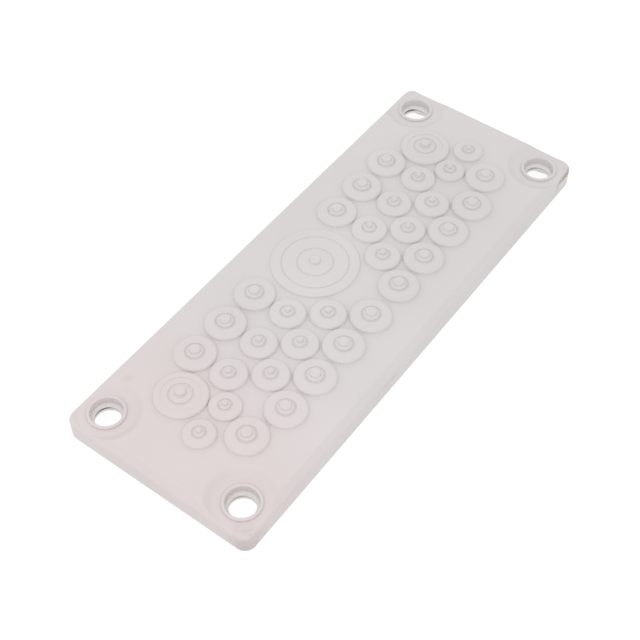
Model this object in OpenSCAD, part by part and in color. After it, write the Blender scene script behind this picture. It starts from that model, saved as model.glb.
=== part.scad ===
// Membrane cable entry plate: one soft skin moulded round one stiff perforated frame.
// Length runs along X, width along Y. The plate lies on its sealing rim at z = 0.
// All sizes are in millimetres.

/* [Plate] */
// Distance between the screw holes along the length
hole_spacing_x = 200; // [190:0.5:250]
// Distance between the screw holes across the width
hole_spacing_y = 62.3; // [60:0.1:80]
// Distance from the screw holes to the wall at each end
end_margin = 11.2; // [10.5:0.1:16]
// Distance from the screw holes to the wall at each long side
side_margin = 10.65; // [10:0.05:16]
// Corner radius of the outer wall, seen from above
corner_r = 4.5; // [4:0.5:8]
// Height of the plate above the foot of the rim, without the domes
plate_h = 11.5; // [10.8:0.1:15]
// Height of the upright wall below the bevel
wall_h = 8.3; // [7.5:0.1:9]
// Width of the bevel between wall and top
bevel_w = 2.6; // [1.8:0.1:3.2]
// Rounding of both edges of the bevel
bevel_r = 0.8; // [0.3:0.1:1.2]
// Rounding of the foot of the outer wall
foot_edge_r = 0.6; // [0.3:0.1:1.2]

/* [Sealing rim] */
// Width of the rim that seals on the housing
rim_w = 3.6; // [3:0.1:4.5]
// Height of the rim below the flat underside
rim_h = 3.2; // [2:0.1:3.8]
// Corner radius inside the rim
tray_corner_r = 3; // [1:0.5:6]
// Radius kept clear of the rim round each screw hole
rim_clear_r = 8.2; // [7.5:0.1:9]

/* [Frame inside] */
// Thickness of the frame at its edge and round the screw holes
frame_t = 1.3; // [1:0.1:2.4]
// Corner radius of the frame
frame_corner_r = 3; // [1:0.5:6]
// Soft wall between the frame's edge and the outside
side_wall = 2.6; // [2:0.1:4]
// Soft layer between the frame and the seat round each screw hole
top_cover = 2.4; // [1.4:0.1:2.8]
// Soft layer over the raised middle of the frame
field_cover = 2.2; // [1.6:0.1:2.8]
// Distance from the outer wall to the raised middle of the frame
middle_inset = 5.6; // [5:0.1:8]

/* [Screw holes] */
// Height of the flat seat round each hole
seat_h = 9.2; // [9:0.1:10.5]
// Radius of that seat
seat_r = 10; // [8.5:0.1:11]
// Width of the soft slope from the seat up to the top
seat_slope_w = 4.4; // [1.2:0.1:5]
// Radius of the hole in the stiff frame
frame_bore_r = 5; // [3:0.1:5.5]
// Radius of the soft collar above the frame
collar_bore_r = 6.1; // [5.5:0.1:7.2]
// Radius of the soft lip under the frame
lip_bore_r = 5.3; // [5:0.1:5.6]
// Distance from the collar's bore to the bead's centre line
bead_inset = 0.65; // [0.4:0.05:1.2]
// Half thickness of the bead
bead_r = 0.65; // [0.4:0.05:0.9]
// Height of the bead above the seat
bead_h = 1; // [0.7:0.1:1.6]
// Height of the undercut below the frame in each hole
undercut_h = 0.35; // [0.2:0.05:0.5]
// Depth of that undercut
undercut_w = 1; // [0.5:0.1:1.5]

/* [Membranes] */
// Distance between neighbours in a row
pitch = 17.7; // [17.4:0.1:20]
// Distance of the outer rows from the centre line
outer_row_y = 21.1; // [20.6:0.1:24]
// Place of the upper inner row
upper_row_y = 5.1; // [4.6:0.1:5.4]
// Place of the lower inner row
lower_row_y = -7.5; // [-7.8:0.1:-7.2]
// Place of the largest membrane across the width
main_y = 12.1; // [11.5:0.1:12.6]
// Soft wall between a membrane's pocket and its outside
pocket_wall = 2; // [1.6:0.1:2.4]
// Thickness of a membrane
membrane_t = 1; // [0.6:0.1:1.2]
// Soft lining of each hole in the frame
lining_t = 1; // [0.6:0.1:1.3]
// Rounding where a dome's foot meets the top
dome_foot = 0.5; // [0.1:0.05:0.6]
// Share of a dome's height that its shoulder rounds
shoulder_share = 0.7; // [0.3:0.05:0.8]
// Width of the round grooves of the two largest kinds
wide_groove_w = 0.6; // [0.3:0.1:0.8]
// Depth of those grooves
wide_groove_d = 0.3; // [0.1:0.05:0.4]
// Width of the round grooves of the other kinds
groove_w = 0.7; // [0.3:0.1:0.8]
// Depth of those grooves
groove_d = 0.35; // [0.1:0.05:0.4]
// Height of the rounded ring between groove and nipple above the dome
inner_rise = 0.75; // [0.1:0.05:0.8]
// Width of the rim round the dish on top of each nipple
nipple_rim_w = 0.6; // [0.5:0.05:0.6]
// Depth of that dish
nipple_dish_d = 0.2; // [0.1:0.05:0.3]

/* [Largest membrane] */
// Radius at the foot
main_r = 17.7; // [16:0.1:18]
// Height of the crown
main_rise = 1; // [0.8:0.1:2.5]
// Radius of the outer groove
main_groove_r = 13.4; // [11:0.1:14]
// Radius of the inner groove
main_inner_groove_r = 7.2; // [5:0.1:8]
// Radius of the nipple at its foot
main_nipple_r = 2.2; // [1.2:0.1:3]
// Radius of the nipple at its top
main_nipple_top_r = 2.1; // [1:0.1:3]
// Height of the nipple above its ring
main_nipple_h = 1; // [0.5:0.1:2.5]

/* [Large membranes] */
// Radius at the foot
large_r = 10.4; // [9.5:0.1:10.5]
// Height of the crown
large_rise = 2; // [1.5:0.1:3]
// Radius of the groove
large_groove_r = 4.6; // [3.5:0.05:5.5]
// Radius of the shallow step outside the groove
large_step_r = 7.5; // [6.5:0.1:7.8]
// Drop of the crown inside that step
large_step_d = 0.15; // [0.05:0.05:0.3]
// Radius of the nipple at its foot
large_nipple_r = 2.2; // [1.5:0.1:2.8]
// Radius of the nipple at its top
large_nipple_top_r = 2; // [1.2:0.1:2.8]
// Height of the nipple above its ring
large_nipple_h = 1.6; // [0.5:0.1:2]

/* [Medium membranes] */
// Radius at the foot
medium_r = 8.3; // [7.5:0.1:8.4]
// Height of the crown
medium_rise = 2.25; // [1.5:0.05:3]
// Radius of the groove
medium_groove_r = 3.65; // [3.2:0.05:4.2]
// Radius of the nipple at its foot
medium_nipple_r = 2.3; // [1.4:0.1:2.4]
// Radius of the nipple at its top
medium_nipple_top_r = 2.1; // [1:0.1:2.4]
// Height of the nipple above its ring
medium_nipple_h = 1.1; // [0.5:0.1:2]

/* [Small membranes] */
// Radius at the foot
small_r = 7.3; // [6.6:0.05:7.4]
// Height of the crown
small_rise = 2.1; // [1.5:0.1:2.8]
// Radius of the groove
small_groove_r = 2.8; // [2.5:0.05:3.3]
// Radius of the nipple at its foot
small_nipple_r = 1.4; // [1.2:0.05:1.6]
// Radius of the nipple at its top
small_nipple_top_r = 1.2; // [0.8:0.05:1.6]
// Height of the nipple above its ring
small_nipple_h = 1.4; // [0.5:0.1:2]

/* [Smallest membranes] */
// Radius at the foot
tiny_r = 6.35; // [5.6:0.05:6.4]
// Height of the crown
tiny_rise = 2.05; // [1.3:0.05:2.6]
// Radius of the groove
tiny_groove_r = 2.55; // [2.2:0.05:3]
// Radius of the nipple at its foot
tiny_nipple_r = 1.25; // [1.1:0.05:1.3]
// Radius of the nipple at its top
tiny_nipple_top_r = 1.1; // [0.8:0.05:1.4]
// Height of the nipple above its ring
tiny_nipple_h = 1.2; // [0.5:0.1:2]

/* [Split at one corner] */
// Length of the split along the wall, from the corner
split_l = 14; // [8:1:24]
// Opening of the split at the corner
split_h = 1.4; // [0.6:0.1:1.8]
// Distance of its closed end below the bevel
split_drop = 1.4; // [0.2:0.1:2]
// Rise of its upper edge from the closed end to the corner
split_rise = 1.7; // [0:0.1:2.2]
// Depth of the split behind the outer wall
split_depth = 2; // [1:0.1:3.2]

/* [Hidden] */
$fn = 96;
steps = 8;  // strips in a curved slope
small_fn = 12;  // sides of the small roundings of the domes
past = 1;  // how far a cut runs past a face
overlap = 0.01;
nipple_edge_r = 0.45;
ring_steps = 5;  // strips in the rounding of the ring round a nipple
land_w = 0.07;  // flat between a groove and the ring inside it
hole_x = hole_spacing_x / 2;
hole_y = hole_spacing_y / 2;
half_l = hole_x + end_margin;
half_w = hole_y + side_margin;
root = plate_h - seat_h;  // how far a dome reaches below the top
bead_z = seat_h + bead_h;
bead_ring_r = collar_bore_r + bead_inset;
frame_top_z = seat_h - top_cover;
frame_low_z = frame_top_z - frame_t;
frame_middle_z = plate_h - field_cover;
skin_colour = "#dad5d4";
frame_colour = "#dcd5cc";

// Kinds of dome: foot radius, rise, groove radii, step radius, step depth,
// nipple radius at its foot and top, nipple height, groove width and depth
main_kind = [main_r, main_rise, [main_groove_r, main_inner_groove_r], 0, 0,
             main_nipple_r, main_nipple_top_r, main_nipple_h, wide_groove_w, wide_groove_d];
large_kind = [large_r, large_rise, [large_groove_r], large_step_r, large_step_d,
              large_nipple_r, large_nipple_top_r, large_nipple_h, wide_groove_w, wide_groove_d];
medium_kind = [medium_r, medium_rise, [medium_groove_r], 0, 0,
               medium_nipple_r, medium_nipple_top_r, medium_nipple_h, groove_w, groove_d];
small_kind = [small_r, small_rise, [small_groove_r], 0, 0,
              small_nipple_r, small_nipple_top_r, small_nipple_h, groove_w, groove_d];
tiny_kind = [tiny_r, tiny_rise, [tiny_groove_r], 0, 0,
             tiny_nipple_r, tiny_nipple_top_r, tiny_nipple_h, groove_w, groove_d];

// First places of the rows to the right of the middle, in pitches
outer_start = 1.523;
upper_start = 1.523;
lower_start = 1.026;
bottom_start = 0.524;
large_start = 4.512;
corner_start = 4.488;
tiny_start = 4.193;

// Places of the domes that leave the rows
large_y = main_y + 1;
corner_y = 4.1 - outer_row_y;
tiny_y = -2.9;
tiny_pitch = 14.5;

// Places of one half of the pattern; the other half is its mirror image
half_pattern = concat(
    [for (i = [0:2]) [(outer_start + i) * pitch, outer_row_y, medium_kind]],
    [for (i = [0:2]) [(upper_start + i) * pitch, upper_row_y, small_kind]],
    [for (i = [0:2]) [(lower_start + i) * pitch, lower_row_y, small_kind]],
    [for (i = [0:3]) [(bottom_start + i) * pitch, -outer_row_y, medium_kind]],
    [[large_start * pitch, large_y, large_kind]],
    [[corner_start * pitch, corner_y, medium_kind]],
    [for (i = [0, 1]) [tiny_start * pitch + i * tiny_pitch, tiny_y, tiny_kind]]
);
pattern = concat(
    [[0, main_y, main_kind]],
    half_pattern,
    [for (p = half_pattern) [-p[0], p[1], p[2]]]
);

// Soft step from 0 to 1, for the slopes
function ease(t) = t * t * (3 - 2 * t);

// Radius of a dome's rounded shoulder
function shoulder(h) = shoulder_share * (h - dome_foot);

// Radius of the crown that joins the shoulder smoothly
function crown_r(r, h) =
    let (e = shoulder(h), a = r - e, b = h - dome_foot)
    (a * a + b * b - e * e) / (2 * (b - e));

// Height of the crown at distance x from the middle
function crown_z(r, h, x) =
    let (big = crown_r(r, h))
    h - big + sqrt(big * big - x * x);

// Radius of a round-bottomed groove of the given width and depth
function groove_r(w, d) = (w * w / 4 + d * d) / (2 * d);

// Rounded rectangle, as an exact outline
module plan(hl, hw, r) {
    square([2 * hl, 2 * (hw - r)], center = true);
    square([2 * (hl - r), 2 * hw], center = true);
    for (x = [-1, 1], y = [-1, 1]) {
        translate([x * (hl - r), y * (hw - r)]) circle(r);
    }
}

module slab(hl, hw, r, low, high) {
    translate([0, 0, low]) linear_extrude(high - low) plan(hl, hw, r);
}

// Carries an edge profile once round a rounded rectangle; x = 0 of the profile
// is the centre of each corner
module carried_round(hl, hw, r) {
    for (k = [0:3]) {
        x = (k == 0 || k == 3) ? hl - r : r - hl;
        y = (k < 2) ? hw - r : r - hw;
        translate([x, y, 0]) rotate(90 * k) rotate_extrude(angle = 90) children();
    }
    for (s = [0, 180]) {
        rotate(s) translate([r - hl, hw - r, 0]) rotate([90, 0, 90])
            linear_extrude(2 * (hl - r)) children();
        rotate(s) translate([hl - r, hw - r, 0]) rotate([90, 0, 0])
            linear_extrude(2 * (hw - r)) children();
    }
}

// Edge of the plate: rounded foot, upright wall, bevel with two rounded edges
module edge_profile() {
    slope = atan2(plate_h - wall_h, bevel_w);
    low = bevel_r * tan((90 - slope) / 2);
    high = bevel_r * tan(slope / 2);
    top = corner_r - bevel_w;
    polygon([
        [0, 0],
        [corner_r - foot_edge_r, 0],
        [corner_r, foot_edge_r],
        [corner_r, wall_h - low],
        [corner_r - low * cos(slope), wall_h + low * sin(slope)],
        [top + high * cos(slope), plate_h - high * sin(slope)],
        [top - high, plate_h],
        [0, plate_h]
    ]);
    translate([corner_r - foot_edge_r, foot_edge_r]) circle(foot_edge_r);
    translate([corner_r - bevel_r, wall_h - low]) circle(bevel_r);
    translate([top - high, plate_h - bevel_r]) circle(bevel_r);
}

// Outer form of the plate without domes and beads
module plate_body() {
    carried_round(half_l, half_w, corner_r) edge_profile();
    translate([corner_r - half_l, corner_r - half_w, 0])
        cube([2 * (half_l - corner_r), 2 * (half_w - corner_r), plate_h]);
}

// Hollow above the flat seat round a screw hole
module seat() {
    rise = plate_h - seat_h;
    rotate_extrude() polygon(concat(
        [[0, seat_h]],
        [for (i = [0:steps]) [seat_r + seat_slope_w * i / steps, seat_h + rise * ease(i / steps)]],
        [[seat_r + seat_slope_w, plate_h + past], [0, plate_h + past]]
    ));
}

// Soft collar round a screw hole, with its bead
module collar() {
    translate([0, 0, bead_z - bead_r]) rotate_extrude() translate([bead_ring_r, 0]) circle(bead_r);
    translate([0, 0, frame_top_z]) cylinder(r = bead_ring_r, h = bead_z - bead_r - frame_top_z);
}

module at_holes() {
    for (x = [-1, 1], y = [-1, 1]) {
        translate([x * hole_x, y * hole_y, 0]) children();
    }
}

// Half section of a dome that is rooted a little below the top of the plate
module dome_profile(r, h) {
    e = shoulder(h);
    big = crown_r(r, h);
    intersection() {
        translate([0, h - big]) circle(big, $fn = 720);
        union() {
            translate([0, -root]) square([r, dome_foot + root]);
            translate([0, -root]) square([r - e, h + root]);
            translate([r - e, dome_foot]) circle(e);
        }
    }
}

// Rounding between a dome's foot and the top of the plate
module foot_fillet(r) {
    difference() {
        translate([r - overlap, -root]) square([dome_foot + overlap, dome_foot + root]);
        translate([r + dome_foot, dome_foot]) circle(dome_foot, $fn = small_fn);
    }
}

// Half section of the ring round a nipple: it rises in one arc from its outer edge at
// base_z and is level where it meets the nipple
module ring_profile(outer_r, foot_r, base_z) {
    w = outer_r - foot_r;
    big = (w * w + inner_rise * inner_rise) / (2 * inner_rise);
    turn = asin(w / big) / ring_steps;
    low = base_z + inner_rise - big;
    polygon(concat(
        [[0, 0], [0, base_z + inner_rise]],
        [for (i = [0:ring_steps]) [foot_r + big * sin(i * turn), low + big * cos(i * turn)]],
        [[outer_r, 0]]
    ));
}

// Half section of a nipple that stands on a ring at the given height, with a dish on top
module nipple_profile(foot_r, top_r, ring_z, h) {
    top = ring_z + h;
    dish_r = groove_r(2 * (top_r - nipple_rim_w), nipple_dish_d);
    difference() {
        union() {
            polygon([
                [0, 0],
                [foot_r, 0],
                [foot_r, ring_z],
                [top_r, top - nipple_edge_r],
                [0, top - nipple_edge_r]
            ]);
            square([top_r - nipple_edge_r, top]);
            intersection() {
                translate([top_r - nipple_edge_r, top - nipple_edge_r])
                    circle(nipple_edge_r, $fn = small_fn);
                square([top_r, top]);
            }
        }
        translate([0, top + dish_r - nipple_dish_d]) circle(dish_r);
    }
}

// Solid outside of one membrane, with its grooves, its ring and its nipple
module dome(kind) {
    r = kind[0];
    h = kind[1];
    grooves = kind[2];
    step_r = kind[3];
    step_d = kind[4];
    cut_w = kind[8];
    cut_d = kind[9];
    cut_r = groove_r(cut_w, cut_d);
    inner_r = grooves[len(grooves) - 1] - cut_w / 2 - land_w;
    rotate_extrude() {
        difference() {
            dome_profile(r, h);
            if (step_r > 0) {
                difference() {
                    square([step_r, h + past]);
                    translate([0, -step_d]) dome_profile(r, h);
                }
            }
            for (g = grooves) {
                drop = g < step_r ? step_d : 0;
                translate([g, crown_z(r, h, g) - drop + cut_r - cut_d])
                    circle(cut_r, $fn = small_fn);
            }
        }
        foot_fillet(r);
        ring_profile(inner_r, kind[5], h - step_d);
        nipple_profile(kind[5], kind[6], h - step_d + inner_rise, kind[7]);
    }
}

// Pocket under one membrane, open below the plate, with a thin roof that follows the dome
module pocket(kind) {
    r = kind[0] - pocket_wall;
    big = crown_r(kind[0], kind[1]);
    rotate_extrude() intersection() {
        translate([0, kind[1] - big]) circle(big - membrane_t, $fn = 720);
        translate([0, -plate_h - past]) square([r, 2 * plate_h]);
    }
}

module membrane_skin() {
    color(skin_colour)
    difference() {
        union() {
            difference() {
                plate_body();
                at_holes() seat();
            }
            at_holes() collar();
            for (p = pattern) {
                translate([p[0], p[1], plate_h]) dome(p[2]);
            }
        }
        for (p = pattern) {
            translate([p[0], p[1], plate_h]) pocket(p[2]);
        }
        slab(half_l - rim_w, half_w - rim_w, tray_corner_r, -past, rim_h);
        at_holes() translate([0, 0, -past]) cylinder(r = rim_clear_r, h = rim_h + past);
        frame_body();
        at_holes() translate([0, 0, frame_top_z - overlap]) cylinder(r = collar_bore_r, h = plate_h);
        at_holes() translate([0, 0, -past]) cylinder(r = lip_bore_r, h = frame_top_z + past);
        at_holes() translate([0, 0, frame_low_z - undercut_h])
            cylinder(r = frame_bore_r + undercut_w, h = undercut_h);
        split();
    }
}

// Wedge-shaped split that climbs along the wall and is open at the corner
module split() {
    run = split_l + past;
    high = run * split_rise / split_l;
    low = run * (split_rise - split_h) / split_l;
    translate([half_l - split_l, -half_w + split_depth, wall_h - split_drop]) rotate([90, 0, 0])
        linear_extrude(split_depth + past) polygon([[0, 0], [run, low], [run, high]]);
}

module frame_body() {
    difference() {
        union() {
            slab(half_l - side_wall, half_w - side_wall, frame_corner_r, frame_low_z, frame_top_z);
            difference() {
                slab(half_l - middle_inset, half_w - middle_inset, frame_corner_r,
                     frame_low_z, frame_middle_z);
                at_holes() cylinder(r = seat_r + seat_slope_w + past, h = plate_h);
            }
        }
        for (p = pattern) {
            translate([p[0], p[1], 0]) cylinder(r = p[2][0] - pocket_wall + lining_t, h = plate_h);
        }
        at_holes() cylinder(r = frame_bore_r, h = plate_h);
    }
}

module rigid_frame() {
    color(frame_colour) frame_body();
}

membrane_skin();
rigid_frame();
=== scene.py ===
import math

import bpy
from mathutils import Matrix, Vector


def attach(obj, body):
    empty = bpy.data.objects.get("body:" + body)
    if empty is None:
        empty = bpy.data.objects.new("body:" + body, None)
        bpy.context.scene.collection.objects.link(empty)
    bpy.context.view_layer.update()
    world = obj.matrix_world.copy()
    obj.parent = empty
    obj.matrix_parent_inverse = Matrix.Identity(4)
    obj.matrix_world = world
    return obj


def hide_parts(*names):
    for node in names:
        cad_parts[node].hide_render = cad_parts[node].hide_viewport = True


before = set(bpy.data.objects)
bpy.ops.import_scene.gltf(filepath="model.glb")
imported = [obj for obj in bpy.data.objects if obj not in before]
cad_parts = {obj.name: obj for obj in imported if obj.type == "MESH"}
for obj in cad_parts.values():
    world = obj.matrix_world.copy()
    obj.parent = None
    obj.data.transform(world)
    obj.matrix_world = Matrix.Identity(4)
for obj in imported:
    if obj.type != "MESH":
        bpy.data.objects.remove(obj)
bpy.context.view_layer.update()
print("frame loaded:", ", ".join(sorted(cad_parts)))


def linearColour(hexText):  # sRGB hex to the linear values that shaders take
    parts = [int(hexText[i:i + 2], 16) / 255 for i in (1, 3, 5)]
    return [p / 12.92 if p <= 0.04045 else ((p + 0.055) / 1.055) ** 2.4 for p in parts] + [1.0]


def addNode(tree, kind, settings=None, links=None):
    node = tree.nodes.new("ShaderNode" + kind)
    for key, value in (settings or {}).items():  # a property of the node, or a socket's own value
        if isinstance(key, str) and hasattr(node, key):
            setattr(node, key, value)
        else:
            node.inputs[key].default_value = value
    for key, source in (links or {}).items():  # a socket, or a node for its first output
        socket = source.outputs[0] if hasattr(source, "outputs") else source
        tree.links.new(socket, node.inputs[key])
    return node


def newMaterial(name):
    material = bpy.data.materials.new(name)
    material.use_nodes = True
    material.node_tree.nodes.clear()
    return material, material.node_tree


def perMetre(millimetres):  # the noise scale that gives a pattern of this size
    return 1000 / millimetres


def softMask(tree, edges):  # 1 where every value is past its full, 0 where one is before its start
    mask = None
    for value, start, full in edges:
        step = addNode(tree, "MapRange", {
            "interpolation_type": "SMOOTHSTEP", "From Min": start, "From Max": full,
        }, {"Value": value})
        if mask is None:
            mask = step
        else:
            mask = addNode(tree, "Math", {"operation": "MULTIPLY"}, {0: mask, 1: step})
    return mask


# Soft skin: thermoplastic elastomer, injection moulded over the frame.
# It gives a pale, faintly warm grey with a satin sheen and slow waves where it has shrunk.
skinLook = {
    "pale": ("#e3d9d9", "#dfdbdb"),  # at the -X end, which is a little rosier, and in the rest
    "deep": ("#dad0cf", "#d6d2d1"),
    "rosyTo": -0.100,  # along X
    "greyFrom": -0.015,
    "patchMm": 45,  # size of the faint cloudy patches of pale and deep
    "waveMm": 16,  # sink waves in the thick places
    "waveHeight": 0.00012,
    "grainMm": 0.9,  # the spark-eroded grain is finer, but shows only at this size
    "grainHeight": 0.000012,
    "roughness": (0.42, 0.52),  # in the pale patches and in the deep ones
    # Stains, and painted light: the streak along the split is brown dirt with painted shade, and
    # the pale band below it is a painted highlight
    "stainsAndPaintedLight": [  # place, reach along X, Y and Z, colour, strength
        ((-0.0286, -0.0418, 0.0059), (0.0022, 0.0015, 0.0012), "#cdb48a", 0.6),
        ((-0.0247, -0.0418, 0.0066), (0.0035, 0.0015, 0.0009), "#b9b2a6", 0.4),
        ((-0.0856, 0.0338, 0.0115), (0.0028, 0.0024, 0.0030), "#cdb8a2", 0.25),
        ((-0.1088, -0.0394, 0.0), (0.0095, 0.0095, 0.0120), "#bdb2ad", 0.75),  # corner at -X, -Y, darker and browner low on its wall
        ((0.1078, -0.0411, 0.0086), (0.0024, 0.0024, 0.0014), "#b5aaa1", 0.9),  # above the split: brown dirt, darkened further as painted shade of the split
        ((0.1052, -0.0418, 0.0083), (0.0030, 0.0016, 0.0013), "#aba095", 0.9),
        ((0.1024, -0.0418, 0.0081), (0.0030, 0.0016, 0.0012), "#aaa096", 0.85),
        ((0.1002, -0.0418, 0.0079), (0.0024, 0.0016, 0.0010), "#aea59c", 0.8),
        ((0.0986, -0.0418, 0.0072), (0.0020, 0.0016, 0.0008), "#b3aaa2", 0.6),
        ((0.1035, -0.0418, 0.0044), (0.0035, 0.0012, 0.0006), "#f4f0ee", 0.7),  # below it: a painted highlight, pale, where the split's lower face catches light
        # the streak's tail: brown dirt with painted shade of the split
        ((0.0985, -0.0418, 0.0052), (0.0024, 0.0016, 0.0032), "#c9b8ad", 0.6),
    ],
    "markRaggedMm": 2.5,  # ragged edge of these stains and painted marks
    "markFade": (1.6, 0.5),  # reaches from the middle, with the raggedness, at none and at full
    "splitStart": (0.0972, 0.0069),  # closed end of the split, along X and Z
    "splitRise": 0.1214,  # slopes of its upper and lower edge
    "splitFall": 0.0214,
    "splitInside": -0.0390,
    "splitFade": (0.004, 0.0006, 0.0003),  # along X, inwards, and past each edge
    "splitColour": "#c9b9ab",
}

# Inside the screw holes: painted light and shade. The thin lip is painted paler, and the seam above
# it gets a painted shadow on one side
holeLightShadeLook = {
    "holeAt": (0.1000, 0.03115),  # the other three are found by wrapping
    "reach": 0.0056,
    "lip": (0.0020, 0.0041),  # bottom and top
    # painted light: the lip is painted paler, where light comes from below
    "lipPaintedLight": "#f8f5f3",
    "seam": (0.0044, 0.0055),
    # painted shadow at the seam, laid on one side of each hole
    "seamPaintedShade": "#7b7571",
    "fade": (0.0001, 0.0002),  # past the reach, and past each bottom and top
    "seamShadeStrength": (0.45, 1.0),  # at the two holes on -Y and the two on +Y
    "strengthTurn": 0.01,  # it changes between this far on -Y and this far on +Y
    "shadedSide": (-0.35, 0.94, 0.0),
    "shadeFrom": -0.0005,  # along that side, from the hole's axis
    "shadeTo": 0.0030,
}


# Lays the stains, and the painted shade and painted highlight along the split
def stainAndPaintedLightColour(tree, place, colour):
    ragged = addNode(tree, "TexNoise", {
        "Scale": perMetre(skinLook["markRaggedMm"]), "Detail": 3.0,
    }, {"Vector": place})
    none, full = skinLook["markFade"]
    for centre, reach, tone, strength in skinLook["stainsAndPaintedLight"]:
        offset = addNode(tree, "VectorMath", {"operation": "SUBTRACT", 1: centre}, {0: place})
        scaled = addNode(tree, "VectorMath", {"operation": "DIVIDE", 1: reach}, {0: offset})
        length = addNode(tree, "VectorMath", {"operation": "LENGTH"}, {0: scaled})
        rough = addNode(tree, "Math", {"operation": "ADD"}, {0: length.outputs["Value"], 1: ragged})
        amount = addNode(tree, "MapRange", {
            "interpolation_type": "SMOOTHSTEP",
            "From Min": none,
            "From Max": full,
            "To Max": strength,
        }, {"Value": rough})
        colour = addNode(tree, "Mix", {
            "data_type": "RGBA", 7: linearColour(tone),
        }, {0: amount, 6: colour}).outputs[2]
    return colour


def splitMask(tree, place):  # the faces inside the split, which are coloured a darker brown
    axes = addNode(tree, "SeparateXYZ", {}, {0: place}).outputs
    startX, startZ = skinLook["splitStart"]
    inside = skinLook["splitInside"]
    fadeAlong, fadeInwards, fadePast = skinLook["splitFade"]
    edges = [
        (axes[0], startX, startX + fadeAlong),
        (axes[1], inside, inside - fadeInwards),
    ]
    for slope, past in ((skinLook["splitFall"], -fadePast), (skinLook["splitRise"], fadePast)):
        edge = addNode(tree, "Math", {
            "operation": "MULTIPLY_ADD", 1: slope, 2: startZ - slope * startX,
        }, {0: axes[0]})
        above = addNode(tree, "Math", {"operation": "SUBTRACT"}, {0: axes[2], 1: edge})
        edges.append((above, past, 0.0))
    return softMask(tree, edges)


def holeLightAndShade(tree, place, colour):  # lays the painted light on the lip and the painted shadow at the seam in all four holes
    holeX, holeY = holeLightShadeLook["holeAt"]
    offset = addNode(tree, "VectorMath", {
        "operation": "SUBTRACT", 1: (holeX, holeY, 0),
    }, {0: place})
    fromAxis = addNode(tree, "VectorMath", {
        "operation": "WRAP", 1: (holeX, holeY, 1), 2: (-holeX, -holeY, -1),
    }, {0: offset})
    flat = addNode(tree, "VectorMath", {"operation": "MULTIPLY", 1: (1, 1, 0)}, {0: fromAxis})
    radius = addNode(tree, "VectorMath", {"operation": "LENGTH"}, {0: flat}).outputs["Value"]
    side = addNode(tree, "VectorMath", {
        "operation": "DOT_PRODUCT", 1: holeLightShadeLook["shadedSide"],
    }, {0: flat}).outputs["Value"]
    axes = addNode(tree, "SeparateXYZ", {}, {0: place}).outputs
    weak, strong = holeLightShadeLook["seamShadeStrength"]
    turn = holeLightShadeLook["strengthTurn"]
    strength = addNode(tree, "MapRange", {
        "From Min": -turn, "From Max": turn, "To Min": weak, "To Max": strong,
    }, {"Value": axes[1]})
    fadeOut, fadeUp = holeLightShadeLook["fade"]
    masks = {}
    for part in ("lip", "seam"):
        bottom, top = holeLightShadeLook[part]
        masks[part] = [
            (radius, holeLightShadeLook["reach"] + fadeOut, holeLightShadeLook["reach"]),
            (axes[2], bottom - fadeUp, bottom),
            (axes[2], top + fadeUp, top),
        ]
    masks["seam"].append((side, holeLightShadeLook["shadeFrom"], holeLightShadeLook["shadeTo"]))
    lip, seam = softMask(tree, masks["lip"]), softMask(tree, masks["seam"])
    # painted shadow at the seam, weaker in the holes on -Y
    dark = addNode(tree, "Math", {"operation": "MULTIPLY"}, {0: seam, 1: strength})
    for amount, tone in ((lip, holeLightShadeLook["lipPaintedLight"]), (dark, holeLightShadeLook["seamPaintedShade"])):
        colour = addNode(tree, "Mix", {
            "data_type": "RGBA", 7: linearColour(tone),
        }, {0: amount, 6: colour}).outputs[2]
    return colour


def makeSkinMaterial():
    material, tree = newMaterial("mouldedElastomerPaleGrey")
    place = addNode(tree, "TexCoord").outputs["Object"]
    patches = addNode(tree, "TexNoise", {
        "Scale": perMetre(skinLook["patchMm"]), "Detail": 2.0,
    }, {"Vector": place})
    along = addNode(tree, "SeparateXYZ", {}, {0: place}).outputs[0]
    grey = softMask(tree, [(along, skinLook["rosyTo"], skinLook["greyFrom"])])
    tones = []
    for rosy, plain in (skinLook["pale"], skinLook["deep"]):
        tones.append(addNode(tree, "Mix", {
            "data_type": "RGBA", 6: linearColour(rosy), 7: linearColour(plain),
        }, {0: grey}).outputs[2])
    clean = addNode(tree, "Mix", {"data_type": "RGBA"}, {0: patches, 6: tones[0], 7: tones[1]})
    withStainsAndPaintedLight = stainAndPaintedLightColour(tree, place, clean.outputs[2])
    browned = addNode(tree, "Mix", {
        "data_type": "RGBA", 7: linearColour(skinLook["splitColour"]),
    }, {0: splitMask(tree, place), 6: withStainsAndPaintedLight})
    # painted light on the lip and painted shadow at the seam, inside the screw holes
    colour = holeLightAndShade(tree, place, browned.outputs[2])
    waves = addNode(tree, "TexNoise", {
        "Scale": perMetre(skinLook["waveMm"]), "Detail": 1.0,
    }, {"Vector": place})
    waveBump = addNode(tree, "Bump", {
        "Strength": 1.0, "Distance": skinLook["waveHeight"],
    }, {"Height": waves})
    grain = addNode(tree, "TexNoise", {
        "Scale": perMetre(skinLook["grainMm"]), "Detail": 2.0,
    }, {"Vector": place})
    bump = addNode(tree, "Bump", {
        "Strength": 1.0, "Distance": skinLook["grainHeight"],
    }, {"Height": grain, "Normal": waveBump})
    smooth, dull = skinLook["roughness"]
    sheen = addNode(tree, "MapRange", {"To Min": smooth, "To Max": dull}, {"Value": patches})
    shader = addNode(tree, "BsdfPrincipled", {"IOR": 1.5},
                     {"Base Color": colour, "Roughness": sheen, "Normal": bump})
    addNode(tree, "OutputMaterial", {}, {"Surface": shader})
    return material


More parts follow.
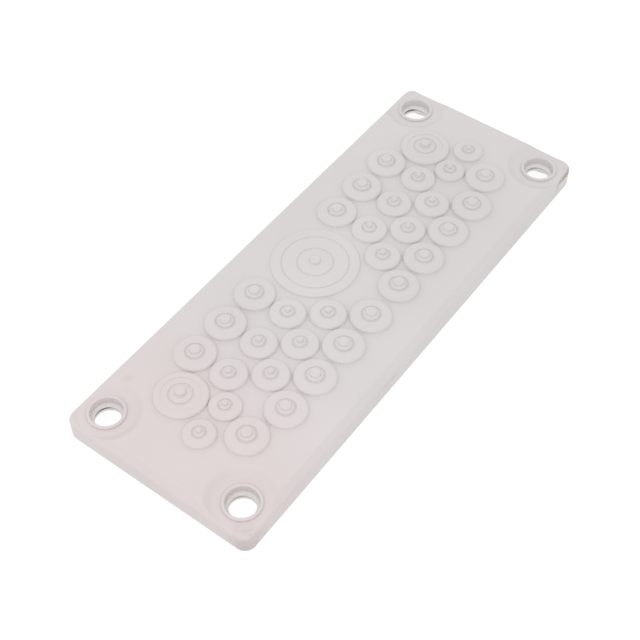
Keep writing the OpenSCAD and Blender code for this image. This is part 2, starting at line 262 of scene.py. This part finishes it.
# Stiff frame: glass-filled polyamide, injection moulded.
# It gives a matt warm grey, darker brown at the cut corner, and is painted paler low in the holes
# as painted light.
frameLook = {
    "clean": "#e8e6e4",
    "edge": "#faf8f6",  # painted light: paler below this height, low in the holes
    "paintedLightTop": 0.0067,
    "paintedLightFade": 0.0001,
    # darker brown around the cut corner, near the split
    "brown": "#a08a75",
    "brownAt": (0.1075, -0.0390, 0.0068),
    "brownFade": (0.0055, 0.003),  # distances from there at none and at full
    "fibreMm": 1.2,  # marks of the glass fibres
    "fibreHeight": 0.00002,
    "roughness": (0.52, 0.68),
}


def makeFrameMaterial():
    material, tree = newMaterial("mouldedPolyamideWarmGrey")
    place = addNode(tree, "TexCoord").outputs["Object"]
    distance = addNode(tree, "VectorMath", {
        "operation": "DISTANCE", 1: frameLook["brownAt"],
    }, {0: place})
    none, full = frameLook["brownFade"]
    brownAmount = addNode(tree, "MapRange", {
        "From Min": none, "From Max": full,
    }, {"Value": distance.outputs["Value"]})
    fibres = addNode(tree, "TexNoise", {
        "Scale": perMetre(frameLook["fibreMm"]), "Detail": 3.0,
    }, {"Vector": place})
    height = addNode(tree, "SeparateXYZ", {}, {0: place}).outputs[2]
    paintedLightTop = frameLook["paintedLightTop"]
    # painted light: the frame is painted paler low in the holes
    clean = addNode(tree, "Mix", {
        "data_type": "RGBA",
        6: linearColour(frameLook["clean"]),
        7: linearColour(frameLook["edge"]),
    }, {0: softMask(tree, [(height, paintedLightTop + frameLook["paintedLightFade"], paintedLightTop)])})
    browned = addNode(tree, "Mix", {
        "data_type": "RGBA", 7: linearColour(frameLook["brown"]),
    }, {0: brownAmount, 6: clean.outputs[2]})
    # painted light on the lip and painted shadow at the seam, inside the screw holes
    colour = holeLightAndShade(tree, place, browned.outputs[2])
    bump = addNode(tree, "Bump", {"Distance": frameLook["fibreHeight"]}, {"Height": fibres})
    smooth, dull = frameLook["roughness"]
    roughness = addNode(tree, "MapRange", {"To Min": smooth, "To Max": dull}, {"Value": fibres})
    shader = addNode(tree, "BsdfPrincipled", {"IOR": 1.53},
                     {"Base Color": colour, "Roughness": roughness, "Normal": bump})
    addNode(tree, "OutputMaterial", {}, {"Surface": shader})
    return material


skinMaterial = makeSkinMaterial()
frameMaterial = makeFrameMaterial()
print("materials ready")


# Shown pieces: merged copies of the two CAD nodes, shaded smooth across the soft edges
pieceLook = {
    "membraneSkin": {
        "node": "membrane_skin",
        "slot": "soft_skin",
        "material": skinMaterial,
        "mergeWithin": 0.000002,
        "smoothDegrees": 50,
        "flatWeight": 60,  # how much the large faces steer the shading
    },
    "stiffFrame": {
        "node": "rigid_frame",
        "slot": "stiff_core",
        "material": frameMaterial,
        "mergeWithin": 0.000002,
        "smoothDegrees": 30,
        "flatWeight": 60,
    },
}


def makePiece(name):
    look = pieceLook[name]
    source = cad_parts[look["node"]]
    bpy.ops.object.select_all(action="DESELECT")
    source.select_set(True)
    bpy.context.view_layer.objects.active = source
    bpy.ops.object.duplicate()
    piece = bpy.context.active_object
    piece.name = name
    piece.parent = None
    for key in list(piece.keys()):
        del piece[key]
    bpy.ops.object.mode_set(mode="EDIT")
    bpy.ops.mesh.select_all(action="SELECT")
    bpy.ops.mesh.customdata_custom_splitnormals_clear()
    bpy.ops.mesh.remove_doubles(threshold=look["mergeWithin"])
    bpy.ops.object.mode_set(mode="OBJECT")
    bpy.ops.object.shade_smooth_by_angle(angle=math.radians(look["smoothDegrees"]))
    weighted = piece.modifiers.new("flatsStayFlat", "WEIGHTED_NORMAL")
    weighted.keep_sharp = True
    weighted.weight = look["flatWeight"]
    piece.data.materials.clear()
    piece.data.materials.append(look["material"])
    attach(piece, "root")
    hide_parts(look["node"])
    return piece


skin = makePiece("membraneSkin")
core = makePiece("stiffFrame")
print("pieces ready:", skin.name, len(skin.data.polygons), core.name, len(core.data.polygons))


# Floor: a plain white sheet that keeps the plate's soft shadow.
# It is clear from below, so that the underside can be looked at.
floorLook = {
    "size": 6.0,
    "sink": 0.00005,
    "tone": "#767676",
    "glow": 0.645,
    "seenGlow": 0.88,  # in the rays that seenRays finds
}


def seenRays(tree):  # 1 for the camera's rays, also by way of a gloss or through something clear
    path = addNode(tree, "LightPath")
    seen = path.outputs["Is Camera Ray"]
    for kind in ("Is Glossy Ray", "Is Transmission Ray"):
        seen = addNode(tree, "Math", {"operation": "MAXIMUM"}, {0: seen, 1: path.outputs[kind]})
    return seen


def makeFloor():
    bpy.ops.object.select_all(action="DESELECT")
    bpy.ops.mesh.primitive_plane_add(size=floorLook["size"], location=(0, 0, -floorLook["sink"]))
    floor = bpy.context.active_object
    floor.name = "studioFloor"
    material, tree = newMaterial("whitePaperSheet")
    paper = addNode(tree, "BsdfDiffuse", {"Color": linearColour(floorLook["tone"])})
    strength = addNode(tree, "MapRange", {
        "To Min": floorLook["glow"], "To Max": floorLook["seenGlow"],
    }, {"Value": seenRays(tree)})
    glow = addNode(tree, "Emission", {}, {"Strength": strength})
    both = addNode(tree, "AddShader", {}, {0: paper, 1: glow})
    clear = addNode(tree, "BsdfTransparent")
    back = addNode(tree, "NewGeometry").outputs["Backfacing"]
    sheet = addNode(tree, "MixShader", {}, {0: back, 1: both, 2: clear})
    addNode(tree, "OutputMaterial", {}, {"Surface": sheet})
    floor.data.materials.append(material)


makeFloor()

# Light: a white tent with one large soft lamp
lightLook = {
    "tent": 0.899,
    "seenTent": 1.0,
    "lamps": {
        "keyLamp": {"place": (-0.26, -0.06, 0.38), "size": 0.45, "power": 0.27},
    },
}


def makeLights():
    world = bpy.data.worlds.new("whiteTent")
    world.use_nodes = True
    tree = world.node_tree
    tree.nodes.clear()
    strength = addNode(tree, "MapRange", {
        "To Min": lightLook["tent"], "To Max": lightLook["seenTent"],
    }, {"Value": seenRays(tree)})
    tent = addNode(tree, "Background", {"Color": (1, 1, 1, 1)}, {"Strength": strength})
    addNode(tree, "OutputWorld", {}, {"Surface": tent})
    bpy.context.scene.world = world
    for name, values in lightLook["lamps"].items():
        bpy.ops.object.light_add(type="AREA", location=values["place"])
        lamp = bpy.context.active_object
        lamp.name = name
        lamp.data.shape = "DISK"
        lamp.data.size = values["size"]
        lamp.data.energy = values["power"]
        lamp.rotation_euler = (-Vector(values["place"])).to_track_quat("-Z", "Y").to_euler()


makeLights()

# Camera: the photograph's place, turn and lens
cameraLook = {
    "place": (-0.25272, -0.17712, 0.37122),
    "turnDegrees": (38.6143, 0.0608, -53.5877),
    "lensMm": 68.418,
    "sensorMm": 36,
    "nearClip": 0.01,
}
bpy.ops.object.camera_add(location=cameraLook["place"],
                          rotation=[math.radians(a) for a in cameraLook["turnDegrees"]])
camera = bpy.context.active_object
camera.name = "photoCamera"
camera.data.lens = cameraLook["lensMm"]
camera.data.sensor_width = cameraLook["sensorMm"]
camera.data.clip_start = cameraLook["nearClip"]
bpy.context.scene.camera = camera
bpy.context.scene.view_settings.view_transform = "Standard"
print("floor, lights and camera ready")
